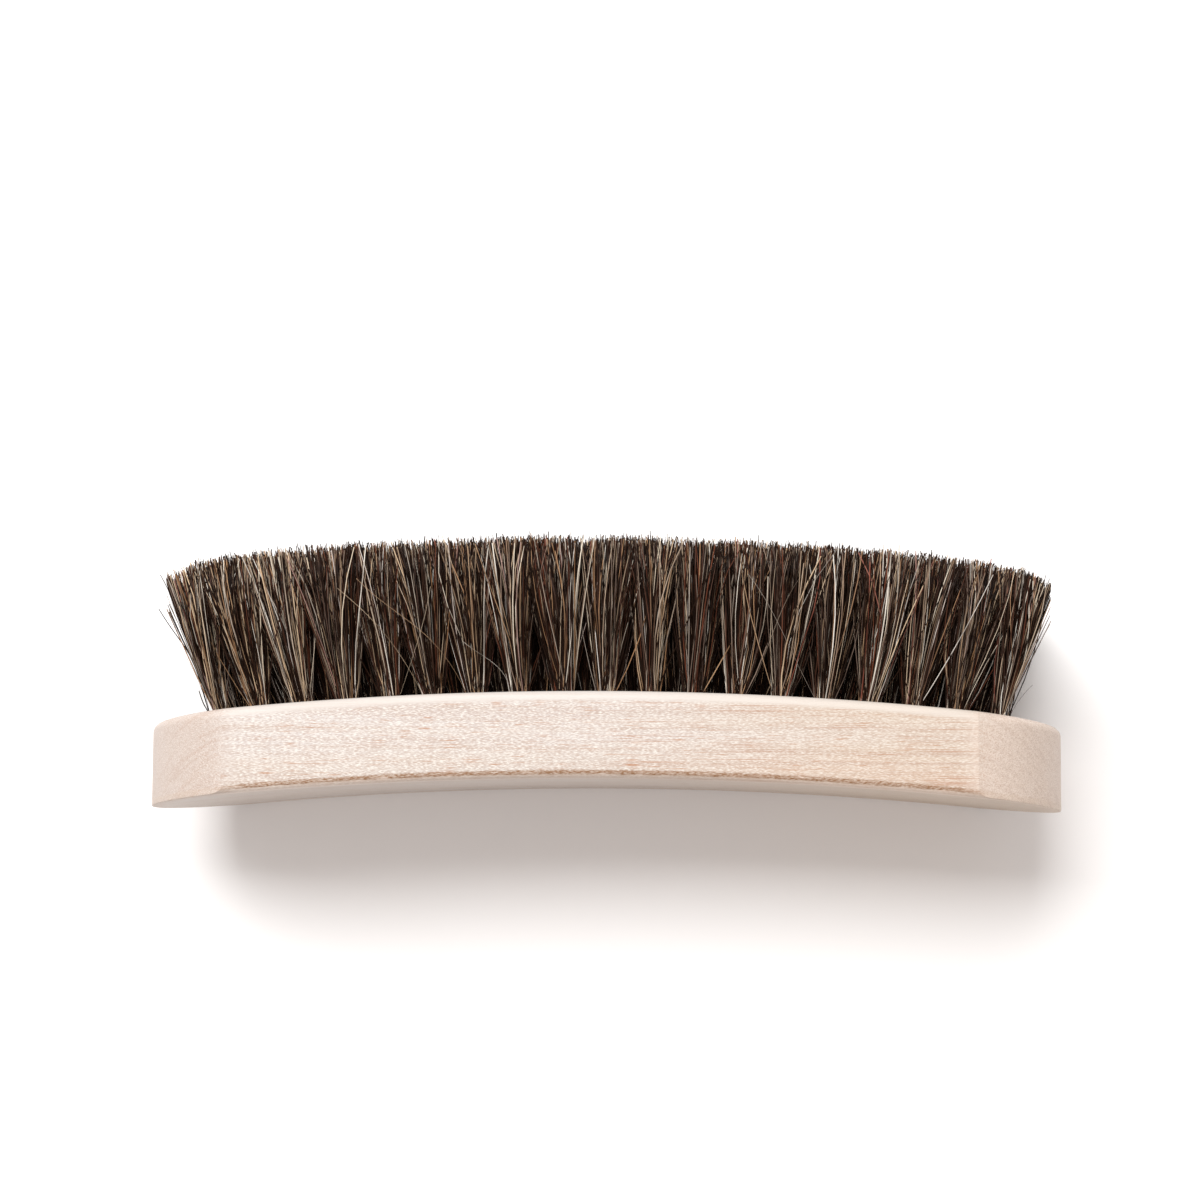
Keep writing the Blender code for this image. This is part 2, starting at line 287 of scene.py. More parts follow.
# Floor, light and camera
FLOOR_REACH = 4.0
FLOOR_DROP = 0.00005
FLOOR_COLOUR = (0.95, 0.95, 0.95, 1)
FLOOR_ROUGHNESS = 0.7
KEY_DISTANCE = 1.15
KEY_WIDTH = 1.03
KEY_DEPTH = 0.645
KEY_POWER = 17.8
KEY_TILT_Y = math.radians(30.2)
KEY_TILT_X = math.radians(-15.4)
FILL_LEFT = (0.60, 0.557, 0.540)
FILL_RIGHT = (0.67, 0.618, 0.590)
CAMERA_PLACE = (0.0351, -0.0405, 0.7279)
CAMERA_TURN = (5.94, 2.93, 0.406)
CAMERA_LENS = 92.94
CAMERA_SENSOR = 36.0
CAMERA_CLIP_START = 0.01

# Places worked out from the frame and the sizes above
block_low, block_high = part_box("wood_block")
HALF_LENGTH = (block_high.x - block_low.x) / 2
HALF_WIDTH = (block_high.z - block_low.z) / 2
FACE_TOP = BLOCK_THICKNESS / 2
END_RADIUS = HALF_WIDTH + END_BULGE
END_CENTRE = HALF_LENGTH - END_RADIUS
ROW_REACH = HALF_WIDTH - SIDE_MARGIN
ROW_PITCH = 2 * ROW_REACH / (TUFT_ROWS - 1)
FIELD_REACH = END_CENTRE + math.sqrt((END_RADIUS - END_MARGIN) ** 2 - ROW_REACH ** 2)
TUFT_PITCH = 2 * FIELD_REACH / (TUFT_COLUMNS - 1)
END_STRETCH = 1 + END_LEAN / FIELD_REACH
SIDE_STRETCH = 1 + SIDE_LEAN / ROW_REACH


class Wire:
    """One socket of a finish. Arithmetic on it adds Math nodes to the finish."""

    def __init__(self, finish, socket):
        self.finish = finish
        self.socket = socket

    def __add__(self, other):
        return self.finish.math("ADD", self, other)

    def __sub__(self, other):
        return self.finish.math("SUBTRACT", self, other)

    def __rsub__(self, other):
        return self.finish.math("SUBTRACT", other, self)

    def __mul__(self, other):
        return self.finish.math("MULTIPLY", self, other)

    __radd__ = __add__
    __rmul__ = __mul__


class Finish:
    """Node tree of a material or of the world, whose nodes are added by one method."""

    def __init__(self, block, shader):
        block.use_nodes = True
        self.block = block
        self.tree = block.node_tree
        self.shader = self.tree.nodes[shader]

    def node(self, kind, settings, sockets, output=0):
        """Add a node of a type: its settings first, then a value or a wire for each socket named."""
        made = self.tree.nodes.new("ShaderNode" + kind)
        for name, value in settings.items():
            if name == "stops":
                self.set_stops(made.color_ramp.elements, value)
            else:
                setattr(made, name, value)
        self.feed(made, sockets)
        return Wire(self, made.outputs[output])

    def feed(self, node, sockets):
        """Give a value or a wire to each of a node's named sockets."""
        for name, value in sockets.items():
            if isinstance(value, Wire):
                self.tree.links.new(value.socket, node.inputs[name])
            else:
                node.inputs[name].default_value = value

    def set_stops(self, elements, stops):
        """Replace a ramp's two stops by a list of places and colours."""
        elements.remove(elements[1])
        elements[0].position, elements[0].color = stops[0][0], (*stops[0][1], 1)
        for place, colour in stops[1:]:
            elements.new(place).color = (*colour, 1)

    def math(self, operation, *values):
        """Add a Math node: its operation, then a value or a wire for each of its sockets."""
        return self.node("Math", {"operation": operation}, dict(enumerate(values)))

    def mix(self, factor, first, second, blend="MIX"):
        """Mix two colours, each a wire or three numbers."""
        first, second = (c if isinstance(c, Wire) else (*c, 1) for c in (first, second))
        settings = {"data_type": "RGBA", "blend_type": blend}
        return self.node("Mix", settings, {0: factor, 6: first, 7: second}, 2)

    def blend(self, factor, first, second):
        """Mix two tones that are given as they look on screen."""
        return self.mix(factor, tone(*first), tone(*second))

    def mark(self, colour, mark, noise, *masks):
        """Lay a mark's tone over a colour, by its share, where its noise and all its masks show it."""
        band, share, shade = mark
        shown = self.step(noise, *band)
        for mask in masks:
            shown = shown * mask
        return self.mix(shown * share, colour, tone(*shade))

    def step(self, value, start, end):
        """Smooth step from 0 at the start to 1 at the end, which may be the lower of the two."""
        low, high, first = min(start, end), max(start, end), float(start > end)
        sockets = {"Value": value, "From Min": low, "From Max": high, "To Min": first, "To Max": 1 - first}
        return self.node("MapRange", {"interpolation_type": "SMOOTHSTEP"}, sockets)

    def noise(self, place, cell, detail, roughness, slant=0.0):
        """Noise whose cells have the given sizes in metres, turned about X by the slant."""
        turn = {"Vector": place, "Scale": cell, "Rotation": (slant, 0, 0)}
        stretched = self.node("Mapping", {"vector_type": "TEXTURE"}, turn)
        sockets = {"Vector": stretched, "Scale": 1.0, "Detail": detail, "Roughness": roughness}
        return self.node("TexNoise", {}, sockets)


def new_finish(name):
    """Finish of a new material."""
    return Finish(bpy.data.materials.new(name), "Principled BSDF")


def tone(red, green, blue):
    """Linear colour of a tone given as it looks on screen, from 0 to 255."""
    shares = np.array((red, green, blue)) / 255
    low = shares / 12.92
    high = ((shares + 0.055) / 1.055) ** 2.4
    return tuple(float(v) for v in np.where(shares <= 0.04045, low, high))


def add_piece(name, points, loops, sizes, finish):
    """Mesh object from points, its faces' corners in one row and the number of corners of each face."""
    mesh = bpy.data.meshes.new(name)
    mesh.vertices.add(len(points))
    mesh.vertices.foreach_set("co", points.astype(np.float32).ravel())
    mesh.loops.add(len(loops))
    mesh.loops.foreach_set("vertex_index", loops.astype(np.int32))
    mesh.polygons.add(len(sizes))
    starts = np.concatenate(([0], np.cumsum(sizes)[:-1]))
    mesh.polygons.foreach_set("loop_start", starts.astype(np.int32))
    mesh.polygons.foreach_set("loop_total", sizes.astype(np.int32))
    mesh.update(calc_edges=True)
    mesh.materials.append(finish)
    piece = bpy.data.objects.new(name, mesh)
    bpy.context.scene.collection.objects.link(piece)
    return piece


def face_height(x):
    """Height of the convex bristle face at a place along the length: an arc of FACE_RADIUS."""
    return FACE_TOP - FACE_RADIUS + np.sqrt(FACE_RADIUS ** 2 - x ** 2)


def back_height(x):
    """Height of the concave back: an arc of BACK_RADIUS that arches the same way."""
    return -FACE_TOP - BACK_RADIUS + np.sqrt(BACK_RADIUS ** 2 - x ** 2)


def rounding(depth, radius):
    """Drop of a quarter-round edge at a depth inside it: the full radius at 0, nothing past the radius."""
    left = np.clip(radius - depth, 0, radius)
    return radius - np.sqrt(radius ** 2 - left ** 2)


def plan_rings(inset):
    """Plan of the block drawn in by each inset, as X, Z from mid width and distance from the end arcs.

    Each ring has an end arc, a straight side, and the same two turned by half a turn. The arc's points
    crowd towards the crease where the arc meets the side face. At half the width in, rings are a line.
    """
    inset = inset[:, None]
    radius = END_RADIUS - inset
    half = HALF_WIDTH - inset
    corner = np.arcsin(np.clip(half / radius, 0, 1))
    angle = corner * np.sin(np.linspace(-np.pi / 2, np.pi / 2, ARC_SPANS + 1)[:-1])
    side = np.linspace(1, -1, SIDE_SPANS + 1)[:-1]
    reach = END_CENTRE + radius * np.cos(corner)
    x = np.concatenate((END_CENTRE + radius * np.cos(angle), reach * side), 1)
    z = np.concatenate((radius * np.sin(angle), half + 0 * side), 1)
    from_arc = np.concatenate((inset + 0 * angle, inset + END_BULGE + 0 * side), 1)
    return np.hstack((x, -x)), np.hstack((z, -z)), np.hstack((from_arc, from_arc))


def block_points():
    """Skin of the block as rings of points, from the face's spine over the wall to the back's spine.

    Height is the face's or the back's arc, less the drop of whichever rounding reaches deeper: that of
    the long edge, by the distance from the side face, or that of the end arc.
    """
    turn = np.linspace(0, np.pi / 2, BEVEL_SPANS + 1)
    field = np.linspace(HALF_WIDTH, FACE_BEVEL, FIELD_SPANS, endpoint=False)
    face_insets = np.concatenate((field, FACE_BEVEL * (1 - np.cos(turn[::-1]))))
    back = np.linspace(HALF_WIDTH, BACK_BEVEL, FIELD_SPANS, endpoint=False)
    back_insets = np.concatenate((BACK_BEVEL * (1 - np.cos(turn)), back[::-1]))
    x, z, from_arc = plan_rings(face_insets)
    from_side = HALF_WIDTH - np.abs(z)
    drop = np.maximum(rounding(from_side, FACE_BEVEL), rounding(from_arc, END_ROUND))
    face = np.stack((x, face_height(x) - drop, HALF_WIDTH + z), 2)
    x, z, from_arc = plan_rings(back_insets)
    from_side = HALF_WIDTH - np.abs(z)
    rise = np.maximum(rounding(from_side, BACK_BEVEL), rounding(from_arc, BACK_EDGE_ROUND))
    back = np.stack((x, back_height(x) + rise, HALF_WIDTH + z), 2)
    down = np.linspace(0, 1, WALL_SPANS + 1)[1:-1, None, None]
    wall = face[-1] + (back[0] - face[-1]) * down
    return np.concatenate((face, wall, back))


def ring_faces(rings, count):
    """Corners of the quads between rings of equally many points, each ring closed on itself."""
    here = np.arange(count)
    onward = (here + 1) % count
    base = count * np.arange(rings - 1)[:, None]
    corners = (base + here, base + onward, base + count + onward, base + count + here)
    return np.stack(corners, 2).reshape(-1)


def tuft_places():
    """Column, distance along the arch and offset across the width of every tuft; odd rows are shifted."""
    row, column = np.divmod(np.arange(TUFT_ROWS * TUFT_COLUMNS), TUFT_COLUMNS)
    shift = row % 2
    real = column < TUFT_COLUMNS - shift
    along = -FIELD_REACH + TUFT_PITCH * (column + shift / 2)
    across = -ROW_REACH + ROW_PITCH * row
    return column[real], along[real], across[real]


def seat(along, across):
    """Points on the bristle face, with the directions along the arch and out of the wood there."""
    angle = (along + FIELD_SHIFT) / FACE_RADIUS
    flat = np.zeros_like(angle)
    forth = np.stack((np.cos(angle), -np.sin(angle), flat), -1)
    out = np.stack((np.sin(angle), np.cos(angle), flat), -1)
    middle = np.stack((flat, flat + FACE_TOP - FACE_RADIUS, HALF_WIDTH + across), -1)
    return middle + FACE_RADIUS * out, forth, out


def hole_drills(finish):
    """One closed cylinder for each hole, square to the arched face, joined in one cutter."""
    along, across = tuft_places()[1:]
    middle, forth, out = (v[:, None, None] for v in seat(along, across))
    angle = np.linspace(0, 2 * np.pi, HOLE_SIDES, endpoint=False)
    ring = HOLE_RADIUS * (forth * np.cos(angle)[:, None] + np.array((0, 0, 1)) * np.sin(angle)[:, None])
    ends = np.array((-HOLE_SHOWN_DEPTH, HOLE_OVERRUN))[:, None, None]
    points = middle + ring + out * ends
    count = 2 * HOLE_SIDES
    first = count * np.arange(len(along))[:, None]
    here = np.arange(HOLE_SIDES)
    onward = (here + 1) % HOLE_SIDES
    walls = np.stack((here, HOLE_SIDES + here, HOLE_SIDES + onward, onward), 1).reshape(-1)
    caps = np.concatenate((here, HOLE_SIDES + here[::-1]))
    loops = np.concatenate((first + walls, first + caps), 1).reshape(-1)
    sizes = np.tile(np.concatenate((np.full(HOLE_SIDES, 4), np.full(2, HOLE_SIDES))), len(along))
    return add_piece("hole_drills", points.reshape(-1, 3), loops, sizes, finish)


def maple_block(finish):
    """The wooden block: its skin closed along both spines, then drilled."""
    rings = block_points()
    loops = ring_faces(len(rings), rings.shape[1])
    block = add_piece("maple_block", rings.reshape(-1, 3), loops, np.full(len(loops) // 4, 4), finish)
    weld = block.modifiers.new("Weld", "WELD")
    weld.merge_threshold = WELD_DISTANCE
    drills = hole_drills(finish)
    cut = block.modifiers.new("Drilled holes", "BOOLEAN")
    cut.operation = "DIFFERENCE"
    cut.solver = "EXACT"
    cut.object = drills
    bpy.context.view_layer.update()
    drilled = block.evaluated_get(bpy.context.evaluated_depsgraph_get())
    block.data = bpy.data.meshes.new_from_object(drilled)
    block.modifiers.clear()
    bpy.data.objects.remove(drills)
    block.data.shade_smooth()
    block.data.set_sharp_from_angle(angle=CREASE_ANGLE)
    return block


def trim_height(from_middle):
    """Height that the tips are trimmed to: a shallow arc that rolls off at the outermost tips.

    The arc's crest sits a little off the drilled field's middle.
    """
    arc = TRIM_RADIUS - np.sqrt(TRIM_RADIUS ** 2 - (from_middle - TRIM_SHIFT) ** 2)
    share = np.minimum(np.abs(from_middle) / (FIELD_REACH + TRIM_REACH_PAST_FIELD), 1)
    return FACE_TOP + HAIR_HEIGHT - arc - TRIM_END_DROP * share ** TRIM_END_POWER


def ease(share, lead):
    """Share of a sideways move at a share of the height: quicker near the root with a lead over 0."""
    return share * (1 + lead) - lead * share ** 2


def settle(height):
    """Places between the side faces. Past a knee near a side face they close in on it as an exponential.

    No hair reaches past the side face, and hairs keep their order across.
    """
    knee = HALF_WIDTH - CLEARANCE - HAIR_RADIUS - SIDE_ROOM
    from_middle = height - HALF_WIDTH
    past = np.maximum(np.abs(from_middle) - knee, 0)
    squeezed = np.minimum(np.abs(from_middle), knee) + SIDE_ROOM * (1 - np.exp(-past / SIDE_ROOM))
    return HALF_WIDTH + np.sign(from_middle) * squeezed


def in_disc(chance, shape):
    """Evenly spread points in a disc of radius 1, as two coordinates each."""
    angle = chance.uniform(0, 2 * np.pi, shape)
    return np.sqrt(chance.uniform(0, 1, shape))[..., None] * np.stack((np.cos(angle), np.sin(angle)), -1)


def hair_paths(chance, along, across, lock):
    """Rings' middle points of every hair of the given tufts, as tuft, hair, ring and XYZ.

    A hair keeps to its lock, with a little spread of its own. Sideways it moves from its place in the
    hole to its place at the tip, by the tuft's lean, which leads a little near the root, and by the
    flare, which lags there. Strays move much further and cross their neighbours, and kinked hairs sway.
    """
    tufts = len(along)
    shape = (tufts, HAIRS_PER_TUFT)
    lock_root = in_disc(chance, (tufts, LOCKS_PER_TUFT))
    lock_tip = np.array(FLARE) * lock_root + chance.normal(0, LOCK_SPREAD, lock_root.shape)
    held = np.where(chance.uniform(0, 1, shape) < FREE_SHARE, 0, REACH_HOLD_SHARE)
    lock_bend = chance.normal(0, LOCK_BEND, lock_root.shape)
    lock_drop = chance.normal(0, LOCK_UNEVENNESS, lock_root.shape[:2])
    root = np.take_along_axis(lock_root, lock, 1) + ROOT_SPREAD_SHARE * in_disc(chance, shape)
    root /= np.maximum(1, np.linalg.norm(root, axis=-1))[..., None]
    root *= HOLE_RADIUS - HAIR_RADIUS - HAIR_RADIUS_SPREAD
    tip = root + np.take_along_axis(lock_tip, lock, 1) + chance.normal(0, HAIR_SPREAD, root.shape)
    stray = chance.uniform(0, 1, shape) < STRAY_SHARE
    kinked = chance.uniform(0, 1, shape) < KINKED_SHARE
    tip += stray[..., None] * chance.normal(0, STRAY_SPREAD, root.shape)
    tip += chance.normal(0, TUFT_DRIFT, (tufts, 1, 2))

    middle, forth, out = (v[:, None] for v in seat(along, across))
    upward = np.array((0.0, 0.0, 1.0))
    foot = middle + forth * root[..., :1] + upward * root[..., 1:]
    sunk = middle + ROOT_DRAW_SHARE * (foot - middle) - ROOT_SINK * out
    lean_x = (along * END_STRETCH + FIELD_SHIFT)[:, None] - middle[..., 0]
    lean_z = (across * (SIDE_STRETCH - 1))[:, None]
    flare = tip - root
    top_x = foot[..., 0] + lean_x + flare[..., 0] - FIELD_SHIFT
    height = trim_height(top_x)
    height -= TRIM_UNEVENNESS * chance.uniform(0, 1, shape) ** TRIM_UNEVENNESS_POWER
    height += chance.normal(0, TRIM_JITTER, shape) + np.take_along_axis(lock_drop, lock[..., 0], 1)
    short = chance.uniform(0, 1, shape) < SHORT_SHARE
    height -= short * chance.uniform(0, SHORTFALL, shape)

    share = np.array(HAIR_RINGS)
    lean, fan, bow = ease(share, LEAN_EASE), ease(share, FLARE_EASE), 4 * share * (1 - share)
    sway = np.sin(2 * np.pi * share)
    bend = np.take_along_axis(lock_bend, lock, 1) + chance.normal(0, BEND, (*shape, 2))
    bend += stray[..., None] * chance.normal(0, STRAY_BEND, (*shape, 2))
    wave = chance.normal(0, WAVE, (*shape, 2)) + kinked[..., None] * chance.normal(0, KINK, (*shape, 2))
    x = lean_x[..., None] * lean + flare[..., :1] * fan + bend[..., :1] * bow + wave[..., :1] * sway
    z = lean_z[..., None] * lean + flare[..., 1:] * fan + bend[..., 1:] * bow + wave[..., 1:] * sway
    y = (height - foot[..., 1])[..., None] * share
    paths = foot[..., None, :] + np.stack((x, y, z), -1)
    from_middle = paths[..., 0] - FIELD_SHIFT
    outline = FIELD_REACH + REACH_AT_FACE + (REACH_AT_TRIM - REACH_AT_FACE) * share
    past = np.maximum(np.abs(from_middle) - outline, 0)
    paths[..., 0] -= held[..., None] * np.sign(from_middle) * past
    paths[..., 2] = settle(paths[..., 2])
    return np.concatenate((sunk[..., None, :], paths), -2)


def tube_points(chance, paths, radius):
    """Corners of a thin tube round each path, in sections square to the path, from all paths' radii."""
    run = np.gradient(paths, axis=-2)
    run /= np.linalg.norm(run, axis=-1)[..., None]
    across = np.cross(run, np.array((0.0, 0.0, 1.0)))
    across /= np.linalg.norm(across, axis=-1)[..., None]
    over = np.cross(run, across)
    spin = chance.uniform(0, 2 * np.pi, radius.shape)
    angle = 2 * np.pi * np.arange(HAIR_SIDES) / HAIR_SIDES + spin[..., None]
    cosine, sine = (f(angle)[..., None, :, None] for f in (np.cos, np.sin))
    section = across[..., None, :] * cosine + over[..., None, :] * sine
    along = np.linspace(0, 1, paths.shape[-2])
    taper = np.interp(along, (0, TAPER_START_SHARE, 1), (1, 1, TIP_TAPER_SHARE))
    size = radius[..., None, None, None] * taper[:, None, None]
    return paths[..., None, :] + size * section


def lone_path(column, row, *past):
    """Rings' middle points of one lone hair: a cubic through its foot and its three chosen points."""
    along = -FIELD_REACH + TUFT_PITCH * column
    across = -ROW_REACH + ROW_PITCH * row
    edge = np.sign(past[0][0]) * LONE_ROOT_SHARE * HOLE_RADIUS
    middle, _, out = seat(np.array(along + edge), np.array(across))
    points = np.vstack((np.zeros(3), past))
    knots = np.linspace(0, 1, len(points))
    share = np.linspace(0, 1, LONE_RINGS)
    weights = [
        np.prod([(share - other) / (knot - other) for other in np.delete(knots, i)], 0)
        for i, knot in enumerate(knots)
    ]
    path = middle + np.stack(weights, 1) @ points
    path[:, 2] = np.minimum(path[:, 2], 2 * HALF_WIDTH - CLEARANCE - HAIR_RADIUS)
    return np.vstack((middle - ROOT_SINK * out, path))


def horsehair(column, finish):
    """All hairs of one cross strip's tufts as one piece."""
    chance = np.random.default_rng(HAIR_SEED + column)
    owner, along, across = tuft_places()
    along, across = along[owner == column], across[owner == column]
    lock = chance.integers(0, LOCKS_PER_TUFT, (len(along), HAIRS_PER_TUFT))
    paths = hair_paths(chance, along, across, lock[..., None])
    # Painted shade: tufts of the inner rows get a bias towards dark hair
    inner = np.abs(across) < ROW_REACH - ROW_PITCH / 2
    left_end = along < -FIELD_REACH + END_PALE_COLUMNS * TUFT_PITCH
    bias = np.where(inner, INNER_PAINTED_SHADE_BIAS, 1.0)
    pale = np.where(left_end, END_PALE_SHARE, 0.0)
    lane = hair_lanes(chance, lock, bias[:, None], pale[:, None])
    radius = np.clip(chance.normal(HAIR_RADIUS, HAIR_RADIUS_SPREAD, lane.shape), *HAIR_RADIUS_LIMITS)
    points = tube_points(chance, paths, radius)
    return hair_piece(f"horsehair_{column + 1:02d}", points, lane.reshape(-1), finish)


def lone_horsehair(finish):
    """The single hairs that stand out, as one piece. The dark ones are the thicker ones."""
    chance = np.random.default_rng(HAIR_SEED)
    paths = np.stack([lone_path(*hair[:2], *hair[3:]) for hair in LONE_HAIRS])
    share = np.array([hair[2] for hair in LONE_HAIRS])
    lane = (share * TONE_LANES).astype(int)
    radius = np.where(share < LONE_DARK_SHARE, LONE_DARK_RADIUS, LONE_PALE_RADIUS)
    points = tube_points(chance, paths, radius)
    return hair_piece("lone_horsehair", points, lane, finish)


def hair_piece(name, points, lane, finish):
    """Closed tubes from their rings' corners, as one piece with its map of tone lanes."""
    rings = points.shape[-3]
    points = points.reshape(-1, 3)
    hairs = len(lane)
    count = rings * HAIR_SIDES
    walls = ring_faces(rings, HAIR_SIDES)
    caps = np.concatenate((np.arange(HAIR_SIDES)[::-1], np.arange(count - HAIR_SIDES, count)))
    loops = count * np.arange(hairs)[:, None] + np.concatenate((walls, caps))
    sizes = np.concatenate((np.full(len(walls) // 4, 4), np.full(2, HAIR_SIDES)))
    piece = add_piece(name, points, loops.reshape(-1), np.tile(sizes, hairs), finish)
    piece.data.shade_smooth()
    map_lanes(piece.data, lane, rings)
    return piece


def hair_lanes(chance, lock, bias, pale):
    """Tone lane of every hair, dark to light. Some hairs take the tone of their lock, others their own.

    Tufts differ a little by chance, and a tuft with a bias over 1 holds more dark hair: on the inner rows
    this is painted shade between the front tufts. A share of a tuft's hairs may be pale ones added to the
    mix.
    """
    bias = bias * np.exp(chance.normal(0, TUFT_TONE_SPREAD, bias.shape))
    lock_share = chance.uniform(0, 1, (len(lock), LOCKS_PER_TUFT))
    with_lock = np.take_along_axis(lock_share, lock, 1) + chance.normal(0, LOCK_TONE_SPREAD, lock.shape)
    like_lock = chance.uniform(0, 1, lock.shape) < LOCK_TONE_SHARE
    share = np.where(like_lock, with_lock, chance.uniform(0, 1, lock.shape))
    share = np.clip(share, 0, 1) ** bias
    added = chance.uniform(0, 1, lock.shape) < pale
    share = np.where(added, chance.uniform(*PALE_TONES, lock.shape), share)
    return np.minimum((share * TONE_LANES).astype(int), TONE_LANES - 1)


def map_lanes(mesh, lane, rings):
    """Lay every hair in its tone lane: U is the lane and the side of the tube, V runs along the hair."""
    side = np.arange(HAIR_SIDES)
    width = 1 - 2 * LANE_MARGIN
    left = LANE_MARGIN + width * side / HAIR_SIDES
    right = LANE_MARGIN + width * (side + 1) / HAIR_SIDES
    height = np.linspace(0, 1, rings) * LANE_RUN + LANE_FOOT
    left, right, low, high = np.broadcast_arrays(left, right, height[:-1, None], height[1:, None])
    u = np.stack((left, right, right, left), -1)
    v = np.stack((low, low, high, high), -1)
    u = np.concatenate((u.reshape(-1), CAP_U, CAP_U))
    v = np.concatenate((v.reshape(-1), ROOT_CAP_V, TIP_CAP_V))
    lanes = np.stack(((lane[:, None] + u) / TONE_LANES, np.broadcast_to(v, (len(lane), len(v)))), -1)
    layer = mesh.uv_layers.new(name="OFBake")
    layer.data.foreach_set("uv", lanes.astype(np.float32).ravel())


def horsehair_finish():
    """Mixed horsehair: near black, brown, grey, tan and cream hairs, one tone for each lane of the map."""
    finish = new_finish("mixed_horsehair")
    place = finish.node("UVMap", {"uv_map": "OFBake"}, {})
    lane = finish.node("SeparateXYZ", {}, {0: place}, 0)
    stops = [(at, tone(*shade)) for at, shade in HAIR_TONES]
    base = finish.node("ValToRGB", {"stops": stops}, {0: lane})
    # Painted shade: darker streaks along each hair stand in for hairs lying in the shade of others
    shade_streak = finish.step(finish.noise(place, *SHADE_STREAKS), *SHADE_STREAK_BAND) * SHADE_STREAK_SHARE
    colour = finish.mix(shade_streak, base, tone(*SHADE_STREAK_TONE), "MULTIPLY")
    sockets = {"Base Color": colour, "Roughness": HAIR_ROUGHNESS, "Specular IOR Level": HAIR_SPECULAR}
    finish.feed(finish.shader, sockets)
    return finish.block


def maple_masks(finish, x, y, z, ragged):
    """Masks of the block's ends, side faces, side edges, face strip, lower side, back and tan line.

    They follow the height over the back's arc, the depth under the face's arc, and the distances from
    the nearer side face, from the brush's middle and from the nearer end arc.
    """
    over_back = y + (FACE_TOP + BACK_RADIUS) - finish.math("SQRT", BACK_RADIUS ** 2 - x * x)
    under_face = (FACE_TOP - FACE_RADIUS) - y + finish.math("SQRT", FACE_RADIUS ** 2 - x * x)
    from_side = HALF_WIDTH - finish.math("ABSOLUTE", z - HALF_WIDTH)
    from_middle = finish.math("ABSOLUTE", x)
    past_centre, off_middle = from_middle - END_CENTRE, z - HALF_WIDTH
    from_arc = END_RADIUS - finish.math("SQRT", past_centre * past_centre + off_middle * off_middle)
    end = finish.step(from_middle, *END_FROM_MIDDLE) * finish.step(from_arc, *END_FROM_ARC)
    side = finish.step(from_side, *SIDE_DEPTH) * (1 - end)
    edge = finish.step(from_side, *EDGE_DEPTH) * (1 - end)
    strip = finish.step(under_face + ragged * STRIP_WANDER, *STRIP_DEPTH) * (1 - end)
    low = finish.step(over_back, *LOW_RISE) * side
    back = finish.step(over_back + ragged * BACK_WANDER, *BACK_RISE)
    # Tan line: rough grain at the back's edge, carrying painted crease shade
    tan_line_with_shade = finish.step(over_back + ragged * BACK_WANDER, *TAN_LINE_TOP)
    tan_line_with_shade = tan_line_with_shade * finish.step(over_back + ragged * TAN_LINE_WANDER, *TAN_LINE_FOOT)
    tan_line_with_shade = tan_line_with_shade * finish.step(from_middle, *TAN_LINE_REACH)
    return end, side, edge, strip, low, back, tan_line_with_shade


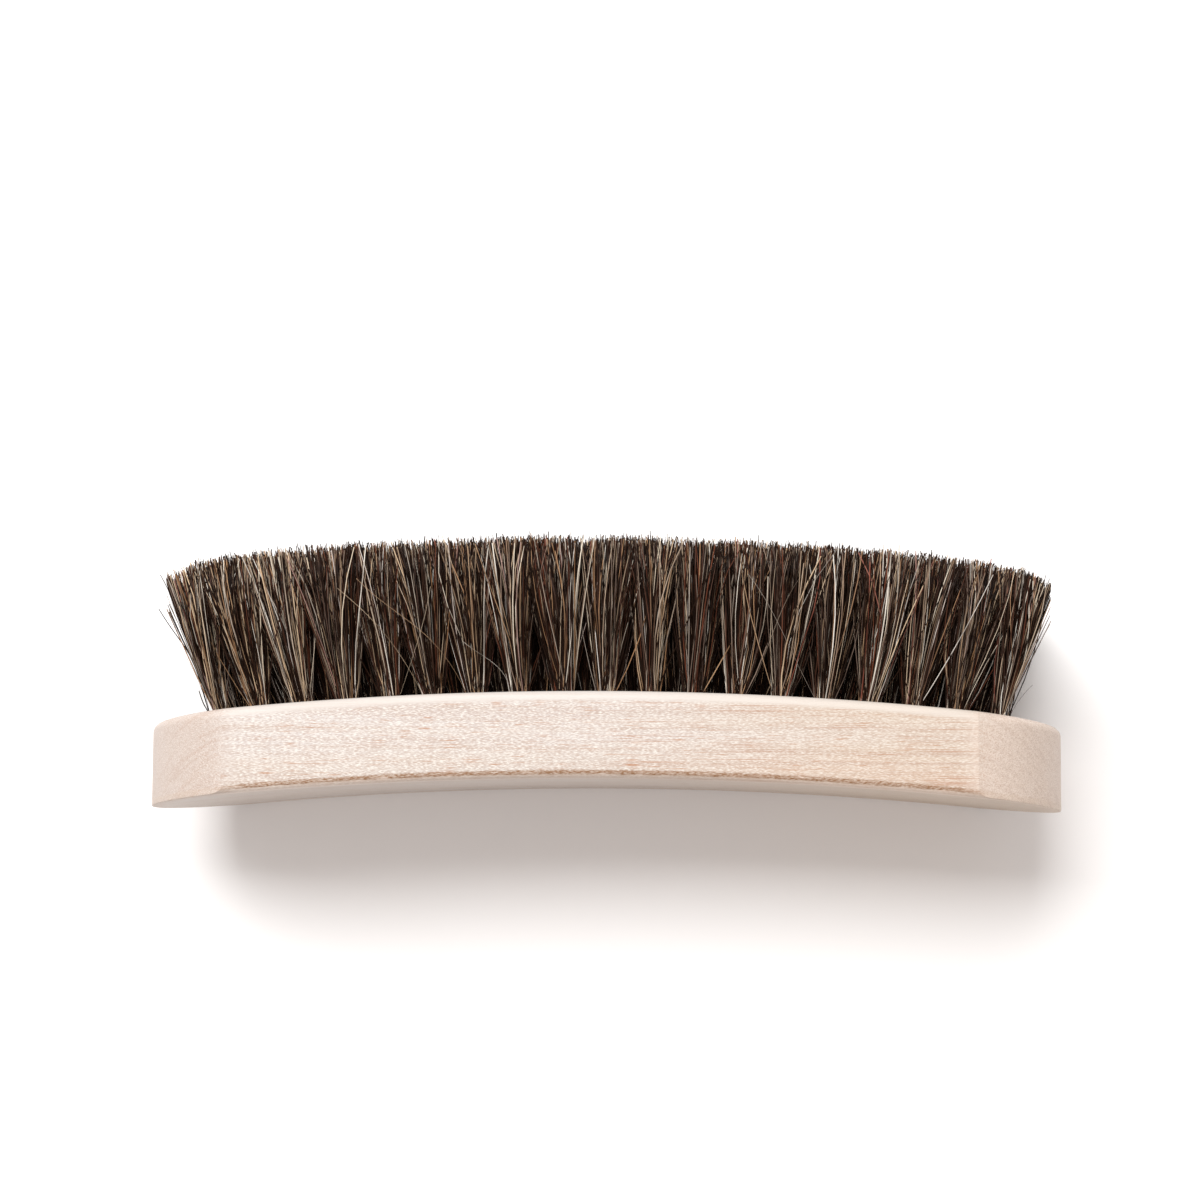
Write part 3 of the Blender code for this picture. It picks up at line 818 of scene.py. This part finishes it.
def maple_finish():
    """Pale unfinished maple.

    Growth rings slant through the block. Pale and dark speckle, patches of short reddish dashes and, on
    the right half, long lines are strongest on the side faces. These are warmer to the right and near
    the back, with a cleaner strip under the bristle face. A rough, broken tan line, its grain darkened as
    painted shade in the crease, runs where they meet the back's edge, which is painted paler as painted
    light bounced off the floor. The ends have their own tone, painted darker at the left as painted shade
    and lighter at the right as painted light, and a fine mottle.
    """
    finish = new_finish("pale_maple")
    place = finish.node("TexCoord", {}, {}, "Object")
    x, y, z = (finish.node("SeparateXYZ", {}, {0: place}, i) for i in range(3))
    ragged = finish.noise(place, *RAGGED)
    rings = finish.noise(place, *RINGS, RING_SLANT)
    long_grain = finish.noise(place, *LONG_GRAIN)
    pores = finish.noise(place, *PORES)
    speckle = finish.noise(place, *SPECKLE)
    dashes = finish.noise(place, *DASHES)
    lines = finish.noise(place, *LINES)
    patches = finish.noise(place, *PATCHES)
    mottle = finish.noise(place, *MOTTLE)
    end, side, edge, strip, low, back, tan_line_with_shade = maple_masks(finish, x, y, z, ragged)

    warm = finish.step(x, *WARM_RUN) * WARM_RUN_SHARE
    warm = warm + finish.step(long_grain, *WARM_GRAIN_BAND) * WARM_GRAIN_SHARE
    colour = finish.blend(warm, COOL_TONE, WARM_TONE)
    colour = finish.mix(low * LOW_SHARE, colour, finish.blend(warm, LOW_COOL_TONE, LOW_WARM_TONE))
    # End grain tone with painted shade at the left end and painted light at the right end, offsetting part
    # of the key light's fall from the left
    end_grain_and_light_tone = finish.blend(finish.step(x, *END_LIGHT_AND_SHADE_RUN), LEFT_END_PAINTED_SHADE_TONE, RIGHT_END_PAINTED_LIGHT_TONE)
    colour = finish.mix(end * END_TONE_SHARE, colour, end_grain_and_light_tone)
    ring_share = RING_SHARE - end * finish.step(x, *RIGHT_END_RUN) * RIGHT_END_RING_LOSS
    colour = finish.mix(finish.step(rings, *RING_BAND) * ring_share, colour, tone(*RING_TONE))
    colour = finish.mark(colour, DARK_MOTTLE, mottle, end)
    colour = finish.mark(colour, PALE_MOTTLE, mottle, end)
    colour = finish.mark(colour, PORE_MARK, pores)

    marked = MARKS_OFF_SIDE_SHARE + (1 - MARKS_OFF_SIDE_SHARE) * side
    marked = (1 - STRIP_CLEAN_SHARE * strip) * marked
    colour = finish.mark(colour, PALE_SPECK, speckle, marked, 1 - WARM_SPECK_LOSS * warm)
    colour = finish.mark(colour, DARK_SPECK, speckle, marked)
    colour = finish.mark(colour, DASH_MARK, dashes, finish.step(patches, *PATCH_BAND), marked)
    colour = finish.mark(colour, LINE_MARK, lines, finish.step(x, *LINE_RUN), marked)
    colour = finish.mix(strip * STRIP_SHARE, colour, tone(*STRIP_TONE))

    # Painted light: light bounced off the floor, painted on the back's edge and paler towards the ends
    bounce_outwards = finish.step(finish.math("ABSOLUTE", x), *BOUNCE_PAINT_RUN)
    painted_bounce_tone = finish.blend(bounce_outwards, BOUNCE_PAINT_MIDDLE_TONE, BOUNCE_PAINT_END_TONE)
    colour = finish.mix(back * edge * BOUNCE_PAINT_SHARE, colour, painted_bounce_tone)
    colour = finish.mix(back * (1 - edge) * BACK_SHARE, colour, tone(*BACK_TONE))
    # Tan line of rough grain, broken up, darkened as painted shade in the crease at the back's edge
    kept = finish.step(speckle, *TAN_LINE_SPECKLE)
    kept = TAN_LINE_KEPT_SHARE + (1 - TAN_LINE_KEPT_SHARE) * kept
    broken = finish.step(ragged, *TAN_LINE_BREAKS) * kept
    colour = finish.mix(tan_line_with_shade * broken, colour, tone(*TAN_LINE_CREASE_SHADE_TONE))

    relief = RELIEF_OFF_SIDE_SHARE + (1 - RELIEF_OFF_SIDE_SHARE) * side
    height = pores * PORE_RELIEF + speckle * relief
    sockets = {"Strength": RELIEF_STRENGTH, "Distance": RELIEF_DEPTH, "Height": height}
    bump = finish.node("Bump", {}, sockets)
    rough = WOOD_ROUGHNESS + SIDE_ROUGHNESS_GAIN * side
    finish.feed(finish.shader, {"Base Color": colour, "Roughness": rough, "Normal": bump})
    return finish.block


def floor_finish():
    """Plain white studio floor."""
    finish = new_finish("white_floor")
    finish.feed(finish.shader, {"Base Color": FLOOR_COLOUR, "Roughness": FLOOR_ROUGHNESS})
    return finish.block


def add_stage():
    """Pale floor that the brush lies on."""
    corners = FLOOR_REACH * np.array(((-1, -1), (1, -1), (1, 1), (-1, 1)))
    points = np.column_stack((corners, np.full(4, -FLOOR_DROP)))
    floor = add_piece("floor", points, np.arange(4), np.array([4]), floor_finish())


def add_light():
    """One large soft light above the brush's tips and its left, and a pale fill, stronger at the right."""
    lamp = bpy.data.lights.new("key", "AREA")
    lamp.shape = "RECTANGLE"
    lamp.size = KEY_WIDTH
    lamp.size_y = KEY_DEPTH
    lamp.energy = KEY_POWER
    key = bpy.data.objects.new("key", lamp)
    key.rotation_euler = (-KEY_TILT_Y, KEY_TILT_X, 0)
    bpy.context.scene.collection.objects.link(key)
    bpy.context.view_layer.update()
    key.location = key.matrix_world.to_3x3().col[2] * KEY_DISTANCE
    fill = Finish(bpy.data.worlds.new("fill"), "Background")
    direction = fill.node("TexCoord", {}, {}, "Generated")
    share = fill.node("SeparateXYZ", {}, {0: direction}, 0) * 0.5 + 0.5
    fill.feed(fill.shader, {"Color": fill.mix(share, FILL_LEFT, FILL_RIGHT)})
    bpy.context.scene.world = fill.block


def add_camera():
    """Camera at the photograph's place, above the brush and a little off its middle."""
    lens = bpy.data.cameras.new("camera")
    lens.sensor_width = CAMERA_SENSOR
    lens.lens = CAMERA_LENS
    lens.clip_start = CAMERA_CLIP_START
    camera = bpy.data.objects.new("camera", lens)
    camera.location = CAMERA_PLACE
    camera.rotation_euler = [math.radians(angle) for angle in CAMERA_TURN]
    bpy.context.scene.collection.objects.link(camera)
    bpy.context.scene.camera = camera


bpy.context.scene.view_settings.view_transform = "Standard"
add_camera()
add_light()
add_stage()

block = maple_block(maple_finish())
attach(block, "root")
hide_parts("wood_block")

hair_finish = horsehair_finish()
for column in range(TUFT_COLUMNS):
    strip = horsehair(column, hair_finish)
    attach(strip, "root")
    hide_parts(f"tuft_strip_{column + 1:02d}")
lone_hair = lone_horsehair(hair_finish)
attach(lone_hair, "root")
